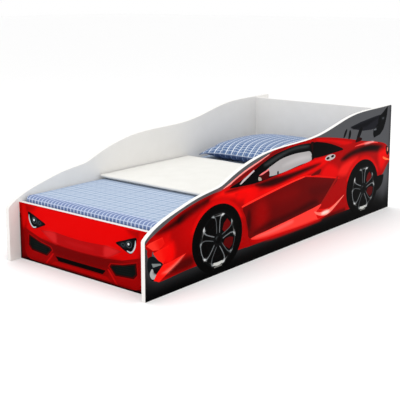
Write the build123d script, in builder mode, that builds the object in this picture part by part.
from build123d import *
import math
import os

# Toddler bed in the shape of a low sports car, millimetres, +Z up.
#
# Two car-shaped side boards stand on the floor and carry everything. A low foot board and a high
# head board join them with cam connectors and dowels. A rail is screwed to the inside of each side
# board, slats lie across the rails, and the mattress lies on the slats. The car is a printed film
# on the outer faces of the side boards and the foot board.
#
# The origin is on the floor at the middle of the bed. The foot end, which is the car's nose, points
# to -X and the head end to +X. The near side board stands at -Y and the far one at +Y.

# ---- Bedding sizes, which set the size of the bed ----
mattress_length = 1300.0
mattress_width = 600.0
mattress_thickness = 120.0
mattress_corner = 18.0
mattress_edge = 12.0
foot_gap = 6.0  # mattress to the foot board, which it's pushed against
head_gap = 34.0  # mattress to the head board
side_gap = 5.0  # mattress to each side board

# ---- Boards ----
board = 15.0  # thickness of every board
foot_inset = 45.0  # side boards stand out past the foot board
head_inset = 85.0  # side boards stand out past the head board
foot_height = 198.0
head_height = 430.0
nose_round = 12.0
tail_round = 6.0

# Top line of a side board as (distance, height). The first stretch is measured back from the
# front end and the second forward from the rear end, so a longer bed has a longer roof.
hood_and_screen = [
    (0, 184),
    (28, 204),
    (90, 231),
    (160, 251),
    (240, 270),
    (320, 281),
    (352, 286),
    (400, 304),
    (460, 326),
    (600, 358),
]
roof_end_and_tail = [
    (550, 379),
    (440, 401),
    (320, 425),
    (180, 434),
    (0, 438),
]

# ---- Printed film ----
film = 0.3
film_above_floor = 1.0

# ---- Rails and slats ----
rail_width = 20.0
rail_height = 40.0
rail_bottom = 45.0
rail_end_gap = 1.0
slat_count = 11
slat_width = 65.0
slat_thickness = 12.0
slat_end_gap = 2.0  # slat to each side board
slat_margin = 25.0  # first slat to the foot board, last slat to the head board
slat_edge = 2.0

# ---- Wood screws, for the slats and the rails ----
screw_length = 30.0
screw_radius = 2.0
screw_head_radius = 4.0
screw_head_angle = 90.0
screw_tip = 3.0
recess_width = 0.9
recess_span = 4.4
recess_depth = 1.6
rail_screw_count = 5
rail_screw_height = 10.0  # above the rail's lower edge
rail_screw_margin = 70.0  # from the rail's ends

# ---- Cam connectors and dowels, between the end boards and the side boards ----
bolt_thread_radius = 3.0
bolt_thread_length = 11.0
bolt_shank_radius = 3.5
bolt_neck_radius = 2.0
bolt_head_radius = 3.4
bolt_head_length = 3.0
cam_radius = 7.5
cam_depth = 12.0
cam_reach = 24.0  # end board's edge to the cam's axis
cam_overlap = 1.5  # bolt hole past the cam's axis
cap_radius = 8.5
cap_thickness = 1.2
cap_edge = 0.5
dowel_radius = 4.0
dowel_length = 30.0
dowel_in_side = 10.0
dowel_chamfer = 1.0
cam_below_rail = 15.0
cam_below_top = 38.0
dowel_from_cam = 35.0
head_low_cam = 60.0
head_high_cam_below_top = 60.0

# ---- Bedding ----
rest_gap = 0.3  # between loose pieces that lie on each other
sheet_thickness = 1.0
sheet_hem_height = 15.0  # hem above the mattress's lower face
blanket_from_foot = 350.0
blanket_to_pillow = 30.0
blanket_side_gap = 3.0  # narrower than the mattress on each side
blanket_thickness = 12.0
blanket_edge = 5.0
pillow_length = 416.0
pillow_side_gap = 35.0  # narrower than the mattress on each side
pillow_seam_height = 30.0
pillow_height = 82.0
pillow_corner = 18.0
pillow_foot_shrink = 50.0
pillow_crown_shrink = 190.0

# ---- Sizes worked out from the values above ----
inner_length = foot_gap + mattress_length + head_gap
inner_width = mattress_width + 2 * side_gap
bed_length = foot_inset + board + inner_length + board + head_inset
front_x = -bed_length / 2
rear_x = bed_length / 2
foot_outer_x = front_x + foot_inset
foot_inner_x = foot_outer_x + board
head_outer_x = rear_x - head_inset
head_inner_x = head_outer_x - board
middle_x = (foot_inner_x + head_inner_x) / 2

rail_length = inner_length - 2 * rail_end_gap
rail_centre_y = inner_width / 2 - rail_width / 2
slat_bottom = rail_bottom + rail_height
slat_top = slat_bottom + slat_thickness
slat_length = inner_width - 2 * slat_end_gap
slat_pitch = (inner_length - 2 * slat_margin - slat_width) / (slat_count - 1)
first_slat_x = foot_inner_x + slat_margin + slat_width / 2
slat_positions = [first_slat_x + i * slat_pitch for i in range(slat_count)]
rail_screw_pitch = (rail_length - 2 * rail_screw_margin) / (rail_screw_count - 1)
first_rail_screw_x = middle_x - rail_length / 2 + rail_screw_margin
rail_screw_positions = [first_rail_screw_x + i * rail_screw_pitch for i in range(rail_screw_count)]
rail_screw_z = rail_bottom + rail_screw_height

foot_middle_x = foot_inner_x - board / 2
head_middle_x = head_inner_x + board / 2
foot_cams = [rail_bottom - cam_below_rail, foot_height - cam_below_top]
foot_dowels = [foot_cams[0] + dowel_from_cam, foot_cams[1] - dowel_from_cam]
head_high_cam = head_height - head_high_cam_below_top
head_cams = [head_low_cam, (head_low_cam + head_high_cam) / 2, head_high_cam]
head_dowels = [(head_cams[0] + head_cams[1]) / 2, (head_cams[1] + head_cams[2]) / 2]
bolt_hole_in_cam = cam_radius + cam_overlap

mattress_foot_x = foot_inner_x + foot_gap
mattress_head_x = mattress_foot_x + mattress_length
mattress_bottom = slat_top + rest_gap
mattress_top = mattress_bottom + mattress_thickness
sheet_top = mattress_top + sheet_thickness
pillow_centre_x = mattress_head_x - pillow_length / 2
pillow_width = mattress_width - 2 * pillow_side_gap
blanket_foot_x = mattress_foot_x + blanket_from_foot
blanket_head_x = mattress_head_x - pillow_length - blanket_to_pillow

SIDES = {"near": -1, "far": 1}


def save(part, name):
    """Label a finished piece and write it to its own file."""
    part.label = name
    export_step(part, f"parts/{name}.step")


def upright(y):
    """Plane that stands at this Y, drawn on as (X, Z), and facing -Y."""
    return Plane.XZ.offset(-y)


def side_plane(side, depth):
    """Upright plane on a side board, this far out from its inner face, facing outward."""
    plane = upright(side * (inner_width / 2 + depth))
    if side > 0:
        plane = Plane(plane.origin, x_dir=(-1, 0, 0), z_dir=(0, 1, 0))
    return plane


def inward_plane(side, x, z, depth=0.0):
    """Plane at a point of a side board's inner face, facing the middle of the bed."""
    return Plane((x, side * (inner_width / 2 - depth), z), x_dir=(1, 0, 0), z_dir=(0, -side, 0))


def car_profile(plane, bottom, flip):
    """Face of a side board's car shape, from this height up to the top line."""
    front = [(front_x + along, height) for along, height in hood_and_screen]
    rear = [(rear_x - along, height) for along, height in roof_end_and_tail]
    line = [(flip * x, z) for x, z in front + rear]
    with BuildSketch(plane) as profile:
        with BuildLine():
            top = Spline(*line)
            Polyline(top @ 1, (flip * rear_x, bottom), (flip * front_x, bottom), top @ 0)
        make_face()
        fillet(profile.vertices().sort_by(Axis.Y)[-2], radius=nose_round)
        fillet(profile.vertices().sort_by(Axis.Y)[-1], radius=tail_round)
    return profile.sketch


# ---- Side boards: 15 mm board cut to the car's outline, drilled on the inner face ----
def side_board(side):
    profile = car_profile(side_plane(side, 0), 0, -side)
    bolts = [inward_plane(side, foot_middle_x, z) for z in foot_cams]
    bolts += [inward_plane(side, head_middle_x, z) for z in head_cams]
    pins = [inward_plane(side, foot_middle_x, z) for z in foot_dowels]
    pins += [inward_plane(side, head_middle_x, z) for z in head_dowels]
    screws = [inward_plane(side, x, rail_screw_z) for x in rail_screw_positions]
    with BuildPart() as panel:
        extrude(profile, amount=board)
        with Locations(*bolts):
            Hole(radius=bolt_thread_radius, depth=bolt_thread_length)
        with Locations(*pins):
            Hole(radius=dowel_radius, depth=dowel_in_side)
        with Locations(*screws):
            Hole(radius=screw_radius, depth=screw_length - rail_width)
    return panel.part


# ---- Side graphics: printed film on the outer face of each side board ----
def side_graphic(side):
    profile = car_profile(side_plane(side, board), film_above_floor, -side)
    with BuildPart() as graphic:
        extrude(profile, amount=film)
    return graphic.part


# ---- End boards: the foot board and the head board, between the side boards ----
def end_board(middle, height, cams, dowels):
    """An end board, with its cams let into the face at +X."""
    pockets = []
    bolts = []
    pins = []
    for side in SIDES.values():
        edge = side * inner_width / 2
        for z in cams:
            pockets.append(Plane((middle + board / 2, edge - side * cam_reach, z), z_dir=(1, 0, 0)))
            bolts.append(Plane((middle, edge, z), z_dir=(0, side, 0)))
        for z in dowels:
            pins.append(Plane((middle, edge, z), z_dir=(0, side, 0)))
    with BuildPart() as panel:
        with BuildSketch(Plane.XY):
            with Locations((middle, 0)):
                Rectangle(board, inner_width)
        extrude(amount=height)
        with Locations(*pockets):
            Hole(radius=cam_radius, depth=cam_depth)
        with Locations(*bolts):
            Hole(radius=bolt_shank_radius, depth=cam_reach + cam_overlap)
        with Locations(*pins):
            Hole(radius=dowel_radius, depth=dowel_length - dowel_in_side)
    return panel.part


# ---- Foot graphic: printed film on the outer face of the foot board ----
def foot_graphic():
    with BuildPart() as graphic:
        with BuildSketch(Plane.YZ.offset(foot_outer_x - film)):
            with Locations((0, (foot_height + film_above_floor) / 2)):
                Rectangle(inner_width, foot_height - film_above_floor)
        extrude(amount=film)
    return graphic.part


# ---- Rails: a batten screwed inside each side board ----
def side_rail(side):
    screws = [inward_plane(side, x, rail_screw_z, rail_width) for x in rail_screw_positions]
    slat_screw_places = [(x, side * rail_centre_y) for x in slat_positions]
    with BuildPart() as rail:
        with BuildSketch(Plane.XY.offset(rail_bottom)):
            with Locations((middle_x, side * rail_centre_y)):
                Rectangle(rail_length, rail_width)
        extrude(amount=rail_height)
        with Locations(*screws):
            CounterSinkHole(
                radius=screw_radius,
                counter_sink_radius=screw_head_radius,
                counter_sink_angle=screw_head_angle,
            )
        with Locations(Plane.XY.offset(slat_bottom)):
            with Locations(*slat_screw_places):
                Hole(radius=screw_radius, depth=screw_length - slat_thickness)
    return rail.part


# ---- Slats: flat boards across the rails, screwed down at both ends ----
def slat(x):
    with BuildPart() as board_across:
        with BuildSketch(Plane.XY.offset(slat_bottom)):
            with Locations((x, 0)):
                Rectangle(slat_width, slat_length)
        extrude(amount=slat_thickness)
        fillet(board_across.edges().filter_by(Axis.Y), radius=slat_edge)
        with Locations(Plane.XY.offset(slat_top)):
            with Locations((x, -rail_centre_y), (x, rail_centre_y)):
                CounterSinkHole(
                radius=screw_radius,
                counter_sink_radius=screw_head_radius,
                counter_sink_angle=screw_head_angle,
            )
    return board_across.part


# ---- Fasteners ----
def wood_screws(places):
    """Countersunk wood screws with a cross recess, one at each plane, heads flush with it."""
    head_depth = (screw_head_radius - screw_radius) / math.tan(math.radians(screw_head_angle / 2))
    with BuildPart() as screws:
        for place in places:
            section = Plane(place.origin, x_dir=place.x_dir, z_dir=-place.y_dir)
            with BuildSketch(section):
                with BuildLine():
                    Polyline(
                        (0, 0),
                        (screw_head_radius, 0),
                        (screw_radius, -head_depth),
                        (screw_radius, screw_tip - screw_length),
                        (0, -screw_length),
                        close=True,
                    )
                make_face()
            revolve(axis=Axis(place.origin, place.z_dir))
            with BuildSketch(place):
                Rectangle(recess_span, recess_width)
                Rectangle(recess_width, recess_span)
            extrude(amount=-recess_depth, mode=Mode.SUBTRACT)
    return screws.part


def cam_bolts(places):
    """Steel bolts from the side boards into the cams, one at each plane in a joint face."""
    neck_start = cam_reach - cam_radius
    neck_end = cam_reach - bolt_head_length + cam_overlap / 2
    with BuildPart() as bolts:
        for place in places:
            section = Plane(place.origin, x_dir=place.x_dir, z_dir=-place.y_dir)
            with BuildSketch(section):
                with BuildLine():
                    Polyline(
                        (0, -bolt_thread_length),
                        (bolt_thread_radius, -bolt_thread_length),
                        (bolt_thread_radius, 0),
                        (bolt_shank_radius, 0),
                        (bolt_shank_radius, neck_start),
                        (bolt_neck_radius, neck_start),
                        (bolt_neck_radius, neck_end),
                        (bolt_head_radius, neck_end),
                        (bolt_head_radius, neck_end + bolt_head_length),
                        (0, neck_end + bolt_head_length),
                        close=True,
                    )
                make_face()
            revolve(axis=Axis(place.origin, place.z_dir))
    return bolts.part


def cam_drums(places):
    """Round cams in the end boards, each hollowed for its bolt and with a cross recess."""
    with BuildPart() as drums:
        for place, side in places:
            with BuildSketch(place):
                Circle(cam_radius)
            extrude(amount=-cam_depth)
            bolt_axis = place.origin - place.z_dir * (board / 2)
            mouth = Plane(bolt_axis + Vector(0, side * cam_radius, 0), z_dir=(0, side, 0))
            with BuildSketch(mouth):
                Circle(bolt_shank_radius)
            extrude(amount=-bolt_hole_in_cam, mode=Mode.SUBTRACT)
            with BuildSketch(place):
                Rectangle(recess_span, recess_width)
                Rectangle(recess_width, recess_span)
            extrude(amount=-recess_depth, mode=Mode.SUBTRACT)
    return drums.part


def cam_caps(places):
    """Thin plastic covers over the cams."""
    with BuildPart() as caps:
        for place, _ in places:
            with BuildSketch(place):
                Circle(cap_radius)
            extrude(amount=cap_thickness)
        rims = caps.edges().filter_by(GeomType.CIRCLE).group_by(SortBy.LENGTH)[-1]
        outer_x = [place.origin.X + place.z_dir.X * cap_thickness for place, _ in places]
        outer_rims = [rim for rim in rims if any(abs(rim.center().X - x) < cap_edge for x in outer_x)]
        fillet(outer_rims, radius=cap_edge)
    return caps.part


def dowels(places):
    """Beech dowels between the side boards and the end boards."""
    with BuildPart() as pins:
        for place in places:
            with BuildSketch(place.offset(-dowel_in_side)):
                Circle(dowel_radius)
            extrude(amount=dowel_length)
        chamfer(pins.edges().filter_by(GeomType.CIRCLE), length=dowel_chamfer)
    return pins.part


def end_board_places(foot_heights, head_heights):
    """Planes where fasteners cross from the side boards into the end boards, facing inward."""
    places = []
    for side in SIDES.values():
        places += [inward_plane(side, foot_middle_x, z) for z in foot_heights]
        places += [inward_plane(side, head_middle_x, z) for z in head_heights]
    return places


def cam_places():
    """Planes in the end boards' faces over each cam, with the side board that its bolt comes from.

    The foot board has its cams inside, because its outer face is printed. The head board has them
    behind, out of the child's reach.
    """
    places = []
    for side in SIDES.values():
        y = side * (inner_width / 2 - cam_reach)
        places += [(Plane((foot_inner_x, y, z), z_dir=(1, 0, 0)), side) for z in foot_cams]
        places += [(Plane((head_outer_x, y, z), z_dir=(1, 0, 0)), side) for z in head_cams]
    return places


# ---- Mattress: a foam block with rounded corners, on the slats ----
def mattress_block():
    with BuildPart() as block:
        with BuildSketch(Plane.XY.offset(mattress_bottom)):
            with Locations(((mattress_foot_x + mattress_head_x) / 2, 0)):
                RectangleRounded(mattress_length, mattress_width, mattress_corner)
        extrude(amount=mattress_thickness)
        fillet(block.faces().filter_by(Axis.Z).edges(), radius=mattress_edge)
    return block.part


# ---- Fitted sheet: an even skin over the mattress's top and sides, down to its hem ----
def fitted_sheet(block):
    with BuildPart() as sheet:
        with BuildSketch(Plane.XY.offset(mattress_bottom + sheet_hem_height)):
            with Locations(((mattress_foot_x + mattress_head_x) / 2, 0)):
                RectangleRounded(
                    mattress_length + 2 * sheet_thickness,
                    mattress_width + 2 * sheet_thickness,
                    mattress_corner + sheet_thickness,
                )
        extrude(amount=mattress_thickness - sheet_hem_height + sheet_thickness)
        top_face = sheet.faces().sort_by(Axis.Z)[-1]
        fillet(top_face.edges(), radius=mattress_edge + sheet_thickness)
        add(block, mode=Mode.SUBTRACT)
    return sheet.part


# ---- Blanket: folded flat across the middle of the mattress ----
def folded_blanket():
    with BuildPart() as blanket:
        with BuildSketch(Plane.XY.offset(sheet_top + rest_gap)):
            with Locations(((blanket_foot_x + blanket_head_x) / 2, 0)):
                Rectangle(blanket_head_x - blanket_foot_x, mattress_width - 2 * blanket_side_gap)
        extrude(amount=blanket_thickness)
        fillet(blanket.edges().filter_by(Axis.Y), radius=blanket_edge)
    return blanket.part


# ---- Pillow: widest at its seam, crowned above it, flat where it lies on the sheet ----
def pillow_cushion():
    bottom = sheet_top + rest_gap
    sections = [
        (bottom, pillow_foot_shrink),
        (bottom + pillow_seam_height, 0),
        (bottom + pillow_height, pillow_crown_shrink),
    ]
    with BuildPart() as cushion:
        for height, shrink in sections:
            with BuildSketch(Plane.XY.offset(height)):
                with Locations((pillow_centre_x, 0)):
                    RectangleRounded(pillow_length - shrink, pillow_width - shrink, pillow_corner)
        loft(ruled=True)
    return cushion.part


os.makedirs("parts", exist_ok=True)

for side_name, side in SIDES.items():
    save(side_board(side), f"{side_name}_side_panel")
    save(side_graphic(side), f"{side_name}_side_graphic")
    save(side_rail(side), f"{side_name}_side_rail")

save(end_board(foot_middle_x, foot_height, foot_cams, foot_dowels), "foot_panel")
save(end_board(head_middle_x, head_height, head_cams, head_dowels), "head_panel")
save(foot_graphic(), "foot_graphic")

for index, slat_x in enumerate(slat_positions):
    save(slat(slat_x), f"slat_{index + 1:02d}")

slat_screw_planes = [
    Plane((x, side * rail_centre_y, slat_top)) for x in slat_positions for side in SIDES.values()
]
rail_screw_planes = []
for side in SIDES.values():
    rail_screw_planes += [inward_plane(side, x, rail_screw_z, rail_width) for x in rail_screw_positions]
save(wood_screws(slat_screw_planes), "slat_screws")
save(wood_screws(rail_screw_planes), "rail_screws")
save(cam_bolts(end_board_places(foot_cams, head_cams)), "cam_bolts")
save(cam_drums(cam_places()), "cam_drums")
save(cam_caps(cam_places()), "cam_caps")
save(dowels(end_board_places(foot_dowels, head_dowels)), "dowels")

mattress = mattress_block()
save(mattress, "mattress")
save(fitted_sheet(mattress), "fitted_sheet")
save(folded_blanket(), "blanket")
save(pillow_cushion(), "pillow")
